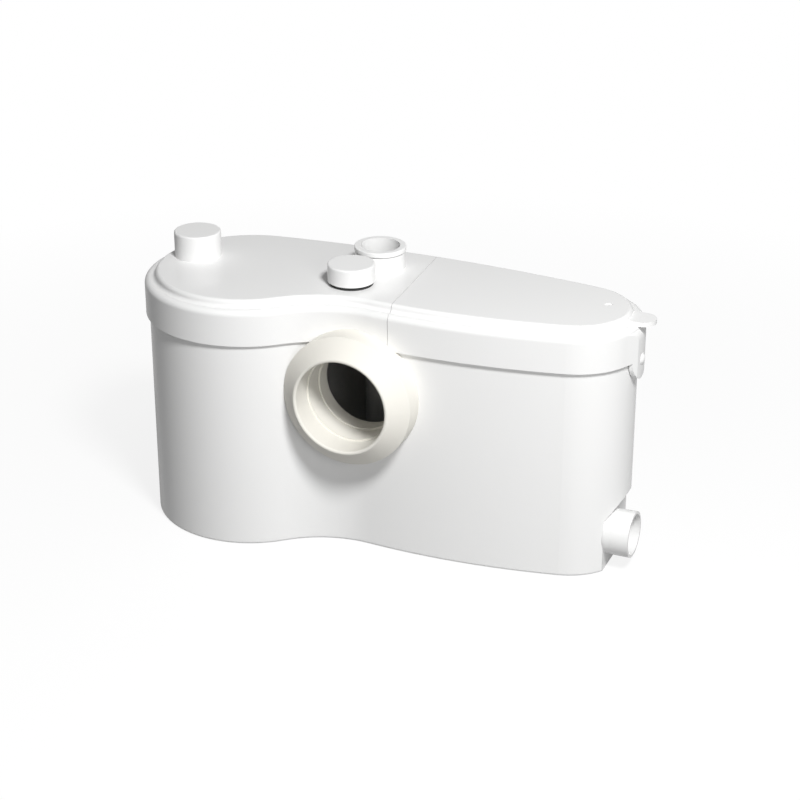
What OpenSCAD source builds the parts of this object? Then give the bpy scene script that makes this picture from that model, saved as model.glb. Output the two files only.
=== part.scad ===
// Macerator toilet pump: a tank that stands on the floor behind a toilet pan, with a grinder,
// a pump, a check valve and a pressure switch inside. All sizes are in millimetres.
// X runs along the tank towards the low side inlet, Y runs from the pan to the wall, Z is up.
// The origin is on the floor, under the axis of the pan inlet and on the long axis of the right half.

/* [Plan of the lid] */
// Centre of the round left lobe, along the length
left_x = -148; // [-158:1:-140]
// Centre of the round left lobe, across
left_y = -29.1; // [-36:0.1:-22]
// Radius of the lid round the left lobe
left_r = 112; // [106:1:120]
// Centre of the round right end, along the length
right_x = 211; // [205:1:225]
// Radius of the lid round the right end
right_r = 72; // [70:1:78]
// Radius of the slightly bowed rear edge
rear_r = 1383; // [1100:1:1800]
// Radius of the slightly bowed front edge
front_r = 714; // [620:1:900]
// Angle at which the front edge leaves the right end
front_turn = 12; // [10:1:13]
// Radius of the hollow waist in front
waist_r = 107.5; // [100:0.5:116]

/* [Tank] */
// Height of the tank rim, under the lid
rim_z = 268; // [264:1:290]
// How far the tank wall stands in from the lid's face
tank_inset = 4; // [3.6:0.2:5]
// Thickness of the tank wall
tank_wall = 3; // [2.5:0.5:4]
// Thickness of the tank floor
floor_t = 4; // [4:0.5:6]
// Rounding of the tank's bottom edge
base_round = 3; // [2:1:8]

/* [Lid] */
// Thickness of the lid
lid_wall = 3; // [2:0.5:3.2]
// Depth of the lid's skirt, below its ledge
skirt_h = 39; // [30:1:45]
// Rounding of the lid's shoulder
shoulder_r = 6; // [4:1:7]
// Width of the flat ledge round the raised panel
ledge_w = 2; // [1:0.5:4]
// Radius of each half of the step up to the raised panel
step_r = 4; // [3:0.5:5]
// Place of the seam between the two covers
seam_x = 33.4; // [31:0.1:38]
// Width of the seam between the two covers
seam_gap = 0.6; // [0.5:0.1:1]
// How far the seam runs askew, in degrees
seam_turn = 3; // [0:0.5:4]
// Width of the tongue at the lid's right end
tongue_w = 38; // [30:1:44]
// How far the tongue hangs below the skirt
tongue_drop = 22; // [16:1:28]
// How far the tongue stands proud of the lid's end
tongue_proud = 3; // [2:0.5:5]
// Radius of the finger lip above the tongue
lip_r = 14; // [10:1:16]
// Thickness of the finger lip
lip_t = 5; // [3:0.5:5]
// Place of the finger lip across the tank
lip_y = 6; // [-6:1:8]

/* [Pan inlet] */
// Height of the inlet's axis above the floor
inlet_z = 180; // [170:1:185]
// How far the inlet's mouth stands in front of the origin
mouth_reach = 124; // [122:1:135]
// Radius of the mouth that takes the pan's spigot
mouth_r = 50; // [45:0.5:52]
// Thickness of the rubber at the mouth
mouth_wall = 4.5; // [3:0.5:6]
// Radius of the sleeve's broad band
band_r = 72; // [70:0.5:76]
// Length of the cone between the mouth and the band
cone_len = 17; // [12:0.5:17]
// Depth of the bore that takes the pan's spigot
socket_depth = 29; // [24:1:32]
// Width of the stop that ends the pan's spigot, and of the ridge behind it
stop_step = 1.5; // [1:0.5:2.5]
// Length of the collar between the stop and the ridge
collar_len = 26; // [20:1:28]
// Length of the collar's tip, behind the ridge
tip_len = 18; // [12:1:20]

/* [Side inlet] */
// Radius of the low side inlet
side_r = 25; // [20:0.5:26]
// Wall of the low side inlet
side_wall = 3; // [2:0.5:4]
// Height of the side inlet's axis
side_z = 40; // [36:1:46]
// Place of the side inlet's axis across the tank
side_y = -19; // [-24:1:-8]
// How far the side inlet stands out of its recess
side_reach = 27.5; // [20:0.5:32]
// Depth of the recess in the tank's right end
recess_depth = 14; // [10:1:18]
// Height of the recess at its flat wall
recess_z = 60; // [54:1:66]
// Slope of the recess's roof
recess_slope = 54; // [45:1:60]

/* [Top fittings] */
// Place of the plug along the tank
plug_x = -214; // [-218:1:-200]
// Place of the plug across the tank
plug_y = -19; // [-30:1:-10]
// Radius of the plug
plug_r = 25.5; // [22:0.5:27]
// Height of the plug above the panel
plug_h = 28.5; // [22:0.5:36]
// Place of the vent along the tank
vent_x = -25; // [-40:1:-20]
// Place of the vent across the tank
vent_y = -33; // [-38:1:-31]
// Radius of the vent cap
vent_r = 25.3; // [22:0.1:26]
// Height of the vent cap above its seal
vent_h = 19; // [14:0.5:24]
// Height of the seal under the vent cap
vent_gap = 4; // [2:0.5:6]
// Place of the discharge along the tank
discharge_x = -17; // [-28:1:-12]
// Place of the discharge across the tank
discharge_y = 26; // [24:1:30]
// Radius of the discharge socket's bore
discharge_r = 21.5; // [18:0.5:22]
// Height of the discharge socket above the panel
discharge_h = 24; // [18:0.5:30]
// Depth of the discharge socket's bore
discharge_depth = 36; // [24:1:38]

/* [Pump and motor] */
// Place of the motor's shaft along the tank
pump_x = 122; // [116:1:130]
// Radius of the pump casing
volute_r = 52; // [48:0.5:56]
// Height of the pump casing
volute_h = 36; // [34:1:40]
// Radius of the grinder basket
basket_r = 56; // [52:0.5:58]
// Height of the grinder basket
basket_h = 48; // [40:1:50]
// Number of slots in the grinder basket
basket_slots = 18; // [10:1:22]
// Radius of the motor's can
can_r = 55; // [50:0.5:56]
// Height of the motor's can
can_h = 124; // [110:1:126]
// Radius of the motor's shaft
shaft_r = 6; // [5:0.25:8]
// Radius of the discharge pipe
pipe_r = 17; // [14:0.5:17]
// Wall of the discharge pipe
pipe_wall = 3; // [2:0.25:4]
// Number of vanes on the impeller
vanes = 6; // [3:1:8]

/* [Switch] */
// Place of the air tube along the tank
air_x = 40; // [34:1:44]
// Place of the air tube across the tank
air_y = 56; // [54:1:57]
// Radius of the air tube
air_r = 9; // [8:0.5:9]
// Travel of the switch's plunger
plunger_travel = 3; // [2:0.5:4]

/* [Hidden] */
// Clearances: a loose fit, a fixed fit and a running fit, all on the radius
loose = 0.3;
fixed = 0.2;
running = 0.05;
$fn = 72;
sweep_fn = 240;

// Levels of the lid
gasket_t = 3;
ledge_z = rim_z + gasket_t + lid_wall;
skirt_z = ledge_z - skirt_h;
panel_z = ledge_z + 2 * step_r;
panel_under = panel_z - lid_wall;
panel_in = shoulder_r + ledge_w + 2 * step_r;
lid_end = right_x + right_r;

// Plan: five arcs that meet without a corner
function meet(c1, r1, c2, r2, side) =
  let (
    d = norm(c2 - c1),
    u = (c2 - c1) / d,
    along = (r1 * r1 - r2 * r2 + d * d) / (2 * d),
    off = sqrt(r1 * r1 - along * along)
  ) c1 + along * u + side * off * [-u.y, u.x];
function heading(v) = atan2(v.y, v.x);
left_c = [left_x, left_y];
right_c = [right_x, 0];
rear_c = meet(left_c, rear_r - left_r, right_c, rear_r - right_r, -1);
front_c = right_c - (front_r - right_r) * [sin(front_turn), -cos(front_turn)];
waist_c = meet(left_c, left_r + waist_r, front_c, front_r + waist_r, -1);
rear_left = heading(left_c - rear_c);
rear_right = heading(right_c - rear_c);
front_left = heading(waist_c - front_c);
waist_right = heading(front_c - waist_c);
waist_left = heading(left_c - waist_c);
// Each arc: centre, radius, 1 if it bulges out or -1 if it is hollow, first angle, angle swept, lengths
ARCS = [
  [rear_c, rear_r, 1, rear_right, rear_left - rear_right, 1],
  [right_c, right_r, 1, front_turn - 90, rear_right - front_turn + 90, 2],
  [front_c, front_r, 1, front_left, front_turn - 90 - front_left, 1],
  [waist_c, waist_r, -1, waist_right, waist_left - waist_right, 1],
  [left_c, left_r, 1, rear_left, 360 + heading(waist_c - left_c) - rear_left, 3],
];
// Width of the band that a swept profile reaches inwards
band = 32;
core_steps = 12;

// Inlet, measured forwards from the origin along its axis
cone_reach = mouth_reach - cone_len;
stop_reach = mouth_reach - socket_depth;
ridge_reach = stop_reach - collar_len;
tip_reach = ridge_reach - tip_len;
band_back = 64;
collar_r = mouth_r - stop_step;
tip_r = collar_r - stop_step;
collar_out = collar_r + mouth_wall;
hole_r = collar_out + fixed;
rim_round = mouth_wall / 2;

// Side inlet and its recess
recess_x = lid_end - tank_inset - recess_depth;
side_end = recess_x + side_reach;
stub_len = 12;
stub_x = recess_x - stub_len;
stub_r = side_r - 1;
root_len = 8;
root_r = side_r - 0.3;
flap_t = 3;
side_pin_r = 2;
side_hinge_z = side_z + side_r + 5;
side_hinge_x = stub_x - flap_t / 2;

// Top fittings
fitting_wall = 3;
plug_neck_r = plug_r - fitting_wall - loose;
plug_neck_h = plug_h - fitting_wall - 2.5;
cap_round = 2;
vent_neck_r = 17;
vent_neck_h = vent_gap + vent_h - 7;
filter_h = 11;
sleeve_r = discharge_r + fitting_wall;
lip_over = 3.5;
socket_lip_h = 5.5;
socket_z = panel_z + discharge_h;
boss_r = sleeve_r + fixed + 2.5;
boss_low = panel_under - 16;
boss_top = socket_z - socket_lip_h - 0.8;
inner_r = discharge_r - 1;
sleeve_low = socket_z - discharge_depth - 12;

// Pump stack, from the floor up
pad_h = 4;
pad_r = 9;
pump_wall = 3;
volute_z = floor_t + pad_h;
basket_z = volute_z + volute_h;
plate_z = basket_z + basket_h;
plate_t = 8;
can_z = plate_z + plate_t;
cap_z = can_z + can_h;
cap_t = 8;
plate_r = can_r + 9;
basket_wall = 3;
flange_t = 5;
eye_r = 20;
can_wall = 2.5;
bearing_r = 14;
bearing_h = 9;
seal_r = 12;
core_low = can_z + 26;
core_h = 56;
rotor_r = 28;
air_gap = 0.7;
winding_h = 16;
screw_ring = can_r + 4.6;
screw_r = 2.4;
outlet_z = volute_z + volute_h / 2;
outlet_reach = volute_r + 14;
outlet_x = pump_x - outlet_reach;
bend_r = 36;
impeller_r = volute_r - pump_wall - 6;
impeller_z = volute_z + pump_wall + 3.4;
impeller_t = 3;
vane_h = 16;
nut_h = 3;
shaft_low = impeller_z;
shaft_top = cap_z - 2;
blade_z = basket_z + 10;
blade_t = 6;
blade_reach = basket_r - basket_wall - 4;
capacitor_r = 15;
capacitor_len = 64;
capacitor_y = -20;
capacitor_z = cap_z + cap_t + capacitor_r + 2;

// Check valve, from the end of the riser up
valve_wall = 3;
valve_bore = 24;
valve_r = valve_bore + valve_wall;
valve_room = 34;
valve_neck_h = 24;
valve_top = sleeve_low + 10;
valve_roof = valve_top - valve_neck_h;
seat_z = valve_roof - valve_wall - valve_room;
valve_low = seat_z - valve_wall - 14;
check_flap_r = pipe_r - pipe_wall + 2.5;
check_pin_r = 1.5;
knuckle_r = check_pin_r + 1.7;
check_hinge_x = discharge_x - 18.5;
check_hinge_z = seat_z + knuckle_r + fixed;

// Switch, from the air tube up
switch_r = 20;
switch_z = 200;
switch_h = 26;
switch_ledge = 10;
diaphragm_t = 1.5;
foot_t = 3;
stem_r = 3;
stem_top = switch_z + switch_h + 7;

// Clamp screw at the lid's right end
tongue_x = lid_end + tongue_proud;
tongue_arc = 10;
lip_rise = 2.6;
seat = 0.4;
clamp_z = skirt_z - 1;
clamp_r = 3;
clamp_head = 6.5;
clamp_head_t = 3;
clamp_nut_t = 5;
tank_end = lid_end - tank_inset;

// Cable gland in the rear wall
gland_x = 150;
gland_z = 200;
gland_r = 8;
gland_turn = acos((gland_x - rear_c.x) / (rear_r - tank_inset));

// Points along a round stretch of a profile
function round_off(x, y, r, from, to, steps = 6) =
  [for (i = [0:steps]) let (a = from + (to - from) * i / steps) [x + r * cos(a), y + r * sin(a)]];

// Points round the plan, a distance d outside the lid's face, from a part of a step past each join
function plan_points(d, past = 0) = [
  for (a = ARCS) for (i = [0:core_steps - 1])
    let (t = (i + past) / core_steps, angle = a[3] + a[4] * (a[2] > 0 ? 1 - t : t))
      a[0] + (a[1] + a[2] * d) * [cos(angle), sin(angle)]
];

// Sweeps a profile round the plan: its x is the distance outside the lid's face, its y is the height
module sweep_plan() {
  for (a = ARCS) for (i = [0:a[5] - 1]) {
    first = a[3] + i * a[4] / a[5];
    turn = first > 90 ? 180 : 0;
    translate(a[0])
      rotate(turn)
        rotate_extrude(angle = a[4] / a[5], start = first - turn, $fn = sweep_fn)
          translate([a[1], 0])
            if (a[2] > 0) children(); else mirror([1, 0]) children();
  }
}

// A block with the plan's outline in short straight lengths, to cut or trim other shapes
module plan_prism(d, low, high) {
  translate([0, 0, low]) linear_extrude(high - low) polygon(plan_points(d));
}

module ring(r_out, r_in, h) {
  linear_extrude(h) difference() {
    circle(r_out);
    circle(r_in);
  }
}

// A flat plate inside a swept band, with its corners clear of the joins between the arcs
module plan_plate(d, low, thick) {
  translate([0, 0, low]) linear_extrude(thick) polygon(plan_points(d, 0.5));
}

// Turns a shape that stands on Z so that it points forwards, out of the pan inlet
module at_inlet() translate([0, 0, inlet_z]) rotate([90, 0, 0]) children();

// Turns a shape that stands on Z so that it points to the right, out of the side inlet
module at_side(x) translate([x, side_y, side_z]) rotate([0, 90, 0]) children();

module at_pump(z) translate([pump_x, 0, z]) children();

module at_discharge(z) translate([discharge_x, discharge_y, z]) children();

module at_air(z) translate([air_x, air_y, z]) children();

// The pin of a hinge that lies across the tank
module cross_pin(r, length) rotate([90, 0, 0]) cylinder(r = r, h = length, center = true);

// The recess in the right end, grown by the thickness of its walls
module recess(grow) {
  rise = tan(recess_slope);
  low_x = recess_x - grow;
  low_z = recess_z + grow / cos(recess_slope) - grow * rise;
  far = lid_end + 20;
  rotate([90, 0, 0])
    linear_extrude(3 * right_r, center = true)
      polygon([[low_x, -1], [far, -1], [far, low_z + (far - low_x) * rise], [low_x, low_z]]);
}

// The recess's flat wall and sloping roof, with their ends buried in the tank's wall
module recess_walls() {
  intersection() {
    difference() {
      recess(tank_wall);
      recess(0);
    }
    plan_prism(-tank_inset - 0.7 * tank_wall, floor_t - 0.5, rim_z);
  }
}

// The tank's wall with its rounded bottom edge, and the floor inside it
module tank_shell() {
  d = -tank_inset;
  sweep_plan() polygon(concat(
    [[d - band, 0]],
    round_off(d - base_round, base_round, base_round, -90, 0),
    [[d, rim_z], [d - tank_wall, rim_z], [d - tank_wall, floor_t], [d - band, floor_t]]
  ));
  plan_plate(d - band + 6, 0, floor_t);
}

// Two ears on the side inlet that reach over the flap and carry its pin
module side_ears() {
  ear_t = 4;
  ear_x = stub_x - flap_t - 2;
  ear_end = stub_x + 6;
  ear_top = side_hinge_z + side_pin_r + 2;
  over = side_z + side_r + 0.5;
  foot = side_z + side_r - 6;
  for (s = [-1, 1]) translate([0, side_y + s * 10.3 - ear_t / 2, 0]) {
    translate([ear_x, 0, over]) cube([ear_end - ear_x, ear_t, ear_top - over]);
    translate([stub_x + loose, 0, foot]) cube([ear_end - stub_x - loose, ear_t, ear_top - foot]);
  }
}

// A strip of the front wall where the waist meets the front edge, behind the inlet sleeve
module waist_strip(grow) {
  join = front_c + front_r * [cos(front_left), sin(front_left)];
  half_w = 5 + grow;
  half_h = hole_r + 3 + grow;
  translate([join.x - half_w, join.y - 10, inlet_z - half_h]) cube([2 * half_w, 40, 2 * half_h]);
}

// That strip as flat lengths, a little thinner than the wall, so that the collar's hole can pass through it
module waist_patch() {
  thin = 0.4;
  intersection() {
    difference() {
      plan_prism(-tank_inset - thin, floor_t, rim_z);
      plan_prism(-tank_inset - tank_wall + thin, 0, rim_z + 1);
    }
    waist_strip(1.5);
  }
}

module tank() {
  color("white") difference() {
    union() {
      difference() {
        tank_shell();
        recess(0);
        waist_strip(0);
      }
      waist_patch();
      recess_walls();
    }
    at_inlet() translate([0, 0, 40]) cylinder(r = hole_r, h = mouth_reach - 40);
    at_side(stub_x) cylinder(r = stub_r + fixed, h = stub_len);
    at_side(recess_x) cylinder(r = side_r + fixed, h = side_reach);
    at_gland(-10) cylinder(r = gland_r + fixed, h = 20);
    translate([tank_end - 10, -clamp_r - 0.5, clamp_z]) cube([20, 2 * clamp_r + 1, rim_z]);
    translate([tank_end - 10, 0, clamp_z]) rotate([0, 90, 0]) cylinder(r = clamp_r + 0.5, h = 20);
  }
}

// Section of the lid: skirt, rounded shoulder, ledge, step and the edge of the panel
module lid_section() {
  step_low = -shoulder_r - ledge_w;
  ledge_under = ledge_z - lid_wall;
  polygon(concat(
    [[0, skirt_z]],
    round_off(-shoulder_r, ledge_z - shoulder_r, shoulder_r, 0, 90),
    round_off(step_low, ledge_z + step_r, step_r, -90, -180),
    round_off(step_low - 2 * step_r, ledge_z + step_r, step_r, 0, 90),
    [
      [-band, panel_z],
      [-band, panel_under],
      [-panel_in - 2, panel_under],
      [step_low - lid_wall, ledge_under],
      [-lid_wall, ledge_under],
      [-lid_wall, skirt_z]
    ]
  ));
}

module lid() {
  sweep_plan() lid_section();
  plan_plate(-band + 6, panel_under, lid_wall);
}

// At the seam, with X across it
module at_seam() translate([seam_x, 0, 0]) rotate(seam_turn) children();

module right_of_seam(gap) at_seam() translate([gap, -300, -1]) cube([400, 600, 500]);

module left_of_seam(gap) at_seam() translate([-gap - 600, -300, -1]) cube([600, 600, 500]);

module plug_neck(r, low, high) translate([plug_x, plug_y, low]) cylinder(r = r, h = high - low);

module vent_neck(r, low, high) translate([vent_x, vent_y, low]) cylinder(r = r, h = high - low);

// A strip under the seam that keeps splashes in
module seam_rebate() {
  rebate = 12;
  span = 2 * right_r - 20;
  under = panel_under - lid_wall - loose;
  at_seam() translate([-rebate, -span / 2, under]) cube([2 * rebate - 2, span, lid_wall]);
  at_seam() translate([-rebate, -span / 2, under]) cube([rebate - seam_gap, span, lid_wall + 1]);
}

module main_cover() {
  color("white") difference() {
    union() {
      intersection() {
        lid();
        left_of_seam(seam_gap / 2);
      }
      seam_rebate();
      plug_neck(plug_neck_r, panel_under, panel_z + plug_neck_h);
      vent_neck(vent_neck_r, panel_under, panel_z + vent_neck_h);
      at_discharge(boss_low) cylinder(r = boss_r, h = boss_top - boss_low);
    }
    plug_neck(plug_neck_r - fitting_wall, panel_under - 1, panel_z + plug_h);
    vent_neck(vent_neck_r - fitting_wall, panel_z, panel_z + vent_h);
    vent_neck(vent_neck_r - 2 * fitting_wall, panel_under - 1, panel_z + 1);
    at_discharge(boss_low - 1) cylinder(r = sleeve_r + fixed, h = discharge_h + 60);
  }
}

// Tongue at the right end, round at the bottom, that the clamp screw goes through
module tongue() {
  r = tongue_w / 2;
  low = skirt_z - tongue_drop;
  back = lid_end - lid_wall + fixed;
  out_r = right_r + tongue_proud;
  soft = 20;
  flow_r = right_r - 0.15;
  flow = tongue_arc + acos(flow_r / out_r);
  apex = right_x + flow_r / cos(flow);
  intersection() {
    translate([back - 20, 0, 0]) rotate([90, 0, 90]) linear_extrude(tongue_x) union() {
      translate([0, low + r]) circle(r);
      translate([-r, low + r]) square([tongue_w, skirt_z + 5 - low - r]);
      translate([-2 * r, skirt_z]) square([2 * tongue_w, ledge_z - skirt_z]);
    }
    translate([0, 0, low - 1]) linear_extrude(ledge_z - low) polygon([
      [apex, 0], [right_x + flow_r * cos(flow), flow_r * sin(flow)], [right_x + right_r - 10, 0],
      [right_x + flow_r * cos(flow), -flow_r * sin(flow)]
    ]);
    translate(right_c) rotate_extrude() polygon(concat(
      [[right_r - lid_wall + fixed, low - 1], [out_r, low - 1]],
      round_off(out_r - soft, ledge_z - shoulder_r - soft / 2, soft, 0, 36),
      [[right_r - lid_wall + fixed, ledge_z - shoulder_r + soft / 12]]
    ));
  }
}

// Lip above the tongue, to lift the cover with a finger; its root is buried in the step
module finger_lip() {
  root = right_r - panel_in + step_r - 0.3;
  translate([0, 0, ledge_z + lip_rise - lip_t]) linear_extrude(lip_t) difference() {
    union() {
      translate([lid_end, lip_y]) circle(lip_r);
      translate([lid_end - panel_in, lip_y - lip_r]) square([panel_in, 2 * lip_r]);
    }
    translate(right_c) circle(root);
  }
}

module service_cover() {
  color("white") difference() {
    union() {
      intersection() {
        lid();
        right_of_seam(seam_gap / 2);
      }
      tongue();
      finger_lip();
    }
    translate([lid_end - 10, 0, clamp_z]) rotate([0, 90, 0]) cylinder(r = clamp_r + running, h = 20);
    translate([tongue_x - seat, 0, clamp_z]) rotate([0, 90, 0]) cylinder(r = clamp_head + 0.5, h = 10);
    translate([right_x + 33, 13, panel_z - 1]) cylinder(r = 4.5, h = 2);
  }
}

module gasket() {
  sweep_plan() translate([-tank_inset - tank_wall - 0.5, rim_z]) square([tank_wall + 0.9, gasket_t]);
}

module main_gasket() {
  color("dimgray") intersection() {
    gasket();
    left_of_seam(seam_gap / 2);
  }
}

module service_gasket() {
  color("dimgray") intersection() {
    gasket();
    right_of_seam(seam_gap / 2);
  }
}

module clamp_screw() {
  dome = (clamp_head * clamp_head + clamp_head_t * clamp_head_t) / (2 * clamp_head_t);
  shank = tongue_proud + lid_wall + 12;
  color("whitesmoke") translate([tongue_x - seat, 0, clamp_z]) rotate([0, 90, 0]) {
    rotate_extrude() polygon(concat(
      [[0, 0]],
      round_off(0, clamp_head_t - dome, dome, acos(clamp_head / dome), 90)
    ));
    translate([0, 0, -shank]) cylinder(r = clamp_r, h = shank + 1);
  }
}

module clamp_nut() {
  inner = tank_end - tank_wall - 1;
  color("silver") translate([inner - clamp_nut_t, 0, clamp_z]) rotate([0, 90, 0]) difference() {
    cylinder(r = 3 * clamp_r, h = clamp_nut_t, $fn = 6);
    translate([0, 0, -1]) cylinder(r = clamp_r + running, h = clamp_nut_t + 2);
  }
}

// The sleeve's visible part: the broad band, the cone and the round mouth
module sleeve_front() {
  edge = 1.5;
  rim = mouth_r + rim_round;
  root = mouth_r + mouth_wall / 4;
  at_inlet() rotate_extrude() polygon(concat(
    [[root, band_back], [band_r, band_back]],
    round_off(band_r - edge, cone_reach - edge, edge, 0, 60, 4),
    round_off(rim, mouth_reach - rim_round, rim_round, 40, 180),
    [[mouth_r, stop_reach - 2], [root, stop_reach - 2]]
  ));
}

// The sleeve's collar, which goes through the tank's wall and narrows at the stop and at the ridge
module sleeve_collar() {
  at_inlet() rotate_extrude() polygon([
    [collar_r, stop_reach], [collar_r, ridge_reach], [tip_r, ridge_reach], [tip_r, tip_reach],
    [tip_r + mouth_wall / 2, tip_reach], [collar_out, ridge_reach], [collar_out, stop_reach]
  ]);
}

module inlet_sleeve() {
  color("ivory") difference() {
    union() {
      difference() {
        sleeve_front();
        plan_prism(-tank_inset + fixed, -1, skirt_z);
      }
      sleeve_collar();
    }
    plan_prism(loose, skirt_z - loose, panel_z + 10);
  }
}

// A round cap with a softened top edge, open below
module cap(r, h, wall, top) {
  rotate_extrude() polygon(concat(
    [[r - wall, 0], [r, 0]],
    round_off(r - cap_round, h - cap_round, cap_round, 0, 90),
    [[0, h], [0, h - top], [r - wall, h - top]]
  ));
}

module top_plug() {
  color("white") translate([plug_x, plug_y, panel_z]) cap(plug_r, plug_h, fitting_wall, 2.2);
}

module vent_cap() {
  color("white") translate([vent_x, vent_y, panel_z + vent_gap]) cap(vent_r, vent_h, 4, fitting_wall);
}

module vent_seal() {
  color("black") translate([vent_x, vent_y, panel_z]) ring(vent_r - 2.3, vent_neck_r + loose, vent_gap);
}

module carbon_filter() {
  color("darkslategray") vent_neck(vent_neck_r - fitting_wall - loose, panel_z, panel_z + filter_h);
}

module discharge_sleeve() {
  soft = 1.2;
  lip = sleeve_r + lip_over;
  lip_z = socket_z - socket_lip_h;
  seat = socket_z - discharge_depth;
  color("white") at_discharge(0) rotate_extrude() polygon(concat(
    [[inner_r, sleeve_low], [sleeve_r, sleeve_low], [sleeve_r, lip_z]],
    round_off(lip - soft, lip_z + soft, soft, -90, 0, 3),
    round_off(lip - soft, socket_z - soft, soft, 0, 90, 3),
    [[discharge_r, socket_z], [discharge_r, seat], [inner_r, seat]]
  ));
}

module check_valve_body() {
  neck = inner_r - loose;
  socket_r = pipe_r + fixed;
  color("gainsboro") difference() {
    union() {
      at_discharge(valve_low) cylinder(r = valve_r, h = valve_roof - valve_low);
      at_discharge(valve_roof) cylinder(r = neck, h = valve_neck_h);
    }
    at_discharge(valve_low - 1) cylinder(r = socket_r, h = seat_z - valve_wall - valve_low + 1);
    at_discharge(valve_low) cylinder(r = pipe_r - pipe_wall, h = seat_z - valve_low + 1);
    at_discharge(seat_z) cylinder(r = valve_bore, h = valve_room);
    at_discharge(valve_roof - valve_wall - 1) cylinder(r = neck - valve_wall, h = valve_neck_h + 20);
    translate([check_hinge_x, discharge_y, check_hinge_z]) cross_pin(check_pin_r + 0.02, 30);
  }
}

module check_flap() {
  color("dimgray") difference() {
    union() {
      at_discharge(seat_z) cylinder(r = check_flap_r, h = flap_t);
      translate([check_hinge_x, discharge_y, check_hinge_z]) cross_pin(knuckle_r, 18);
      translate([check_hinge_x, discharge_y - 9, seat_z + fixed])
        cube([discharge_x - check_hinge_x, 18, flap_t - fixed]);
    }
    translate([check_hinge_x, discharge_y, check_hinge_z]) cross_pin(check_pin_r + running, 30);
  }
}

module check_flap_pin() {
  color("silver") translate([check_hinge_x, discharge_y, check_hinge_z]) cross_pin(check_pin_r, 29);
}

module pipe_section() {
  difference() {
    circle(pipe_r);
    circle(pipe_r - pipe_wall);
  }
}

module riser_pipe() {
  color("gainsboro") {
    translate([discharge_x + bend_r, discharge_y, outlet_z])
      rotate([0, 90, 0]) linear_extrude(outlet_x - discharge_x - bend_r) pipe_section();
    translate([discharge_x + bend_r, discharge_y, outlet_z + bend_r])
      rotate([90, 0, 0]) rotate(180) rotate_extrude(angle = 90) translate([bend_r, 0]) pipe_section();
    at_discharge(outlet_z + bend_r) linear_extrude(seat_z - valve_wall - outlet_z - bend_r) pipe_section();
  }
}

module hose_coupling() {
  half = 13;
  color("dimgray") translate([outlet_x - half, discharge_y, outlet_z])
    rotate([0, 90, 0]) ring(pipe_r + fixed + 2.5, pipe_r + fixed, 2 * half);
}

module pump_pads() {
  color("dimgray") for (i = [0:2])
    at_pump(floor_t) rotate(120 * i + 30)
      translate([volute_r - pad_r - 3, 0]) cylinder(r = pad_r, h = pad_h);
}

module pump_volute() {
  color("gainsboro") difference() {
    union() {
      at_pump(volute_z) cylinder(r = volute_r, h = volute_h);
      at_pump(outlet_z) translate([0, discharge_y]) rotate([0, -90, 0])
        cylinder(r = pipe_r, h = outlet_reach);
    }
    at_pump(volute_z + pump_wall) cylinder(r = volute_r - pump_wall, h = volute_h - 2 * pump_wall);
    at_pump(volute_z + volute_h - pump_wall - 1) cylinder(r = eye_r, h = pump_wall + 2);
    at_pump(outlet_z) translate([0, discharge_y]) rotate([0, -90, 0])
      cylinder(r = pipe_r - pipe_wall, h = outlet_reach + 1);
  }
}

// One curved vane, cut from a ring between the hub and the impeller's edge
module vane(hub) {
  bend = impeller_r / 2 - 0.5;
  intersection() {
    translate([bend, 0]) difference() {
      circle(bend);
      circle(bend - 2.5);
    }
    translate([hub - 1, 0]) square([impeller_r, impeller_r]);
  }
}

module impeller() {
  hub = shaft_r + 4;
  color("darkgray") at_pump(impeller_z) difference() {
    union() {
      cylinder(r = impeller_r, h = impeller_t);
      cylinder(r = hub, h = impeller_t + vane_h);
      for (i = [0:vanes - 1])
        rotate(360 * i / vanes) translate([0, 0, impeller_t - 0.5]) linear_extrude(vane_h) vane(hub);
    }
    translate([0, 0, -1]) cylinder(r = shaft_r, h = vane_h + impeller_t + 2);
  }
}

module impeller_nut() {
  color("silver") at_pump(impeller_z - nut_h) cylinder(r = shaft_r + 4, h = nut_h, $fn = 6);
}

module cutter_basket() {
  slot_w = 7;
  slot_low = 8;
  slot_h = basket_h - flange_t - slot_low - 4;
  color("silver") difference() {
    union() {
      at_pump(basket_z) cylinder(r = basket_r, h = basket_h);
      at_pump(plate_z - flange_t) cylinder(r = plate_r, h = flange_t);
    }
    at_pump(basket_z + basket_wall) cylinder(r = basket_r - basket_wall, h = basket_h);
    at_pump(basket_z - 1) cylinder(r = eye_r, h = basket_wall + 2);
    for (i = [0:basket_slots - 1])
      at_pump(basket_z + slot_low) rotate(360 * (i + 0.5) / basket_slots)
        translate([basket_r - 2 * basket_wall, -slot_w / 2, 0]) cube([3 * basket_wall, slot_w, slot_h]);
    screw_places() translate([0, 0, -flange_t - 1]) cylinder(r = screw_r, h = flange_t + 2);
  }
}

// One arm of the grinder's blade
module blade_arm() {
  root = shaft_r + 5;
  linear_extrude(blade_t) polygon([
    [0, -root], [blade_reach - 6, -root + 4], [blade_reach, 0], [blade_reach - 10, root - 4], [0, root]
  ]);
}

module grinder_blade() {
  hub = shaft_r + 6;
  color("lightgray") at_pump(blade_z) difference() {
    union() {
      cylinder(r = hub, h = 2 * blade_t);
      for (a = [0, 180]) rotate(a) blade_arm();
      for (a = [0, 180]) rotate(a) translate([blade_reach - 14, -3, 0]) cube([6, 6, 2.5 * blade_t]);
    }
    translate([0, 0, -1]) cylinder(r = shaft_r, h = 2 * blade_t + 2);
  }
}

// Four places on the motor's flange, at the top of the grinder basket
module screw_places() {
  for (i = [0:3]) at_pump(plate_z) rotate(90 * i + 45) translate([screw_ring, 0]) children();
}

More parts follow.
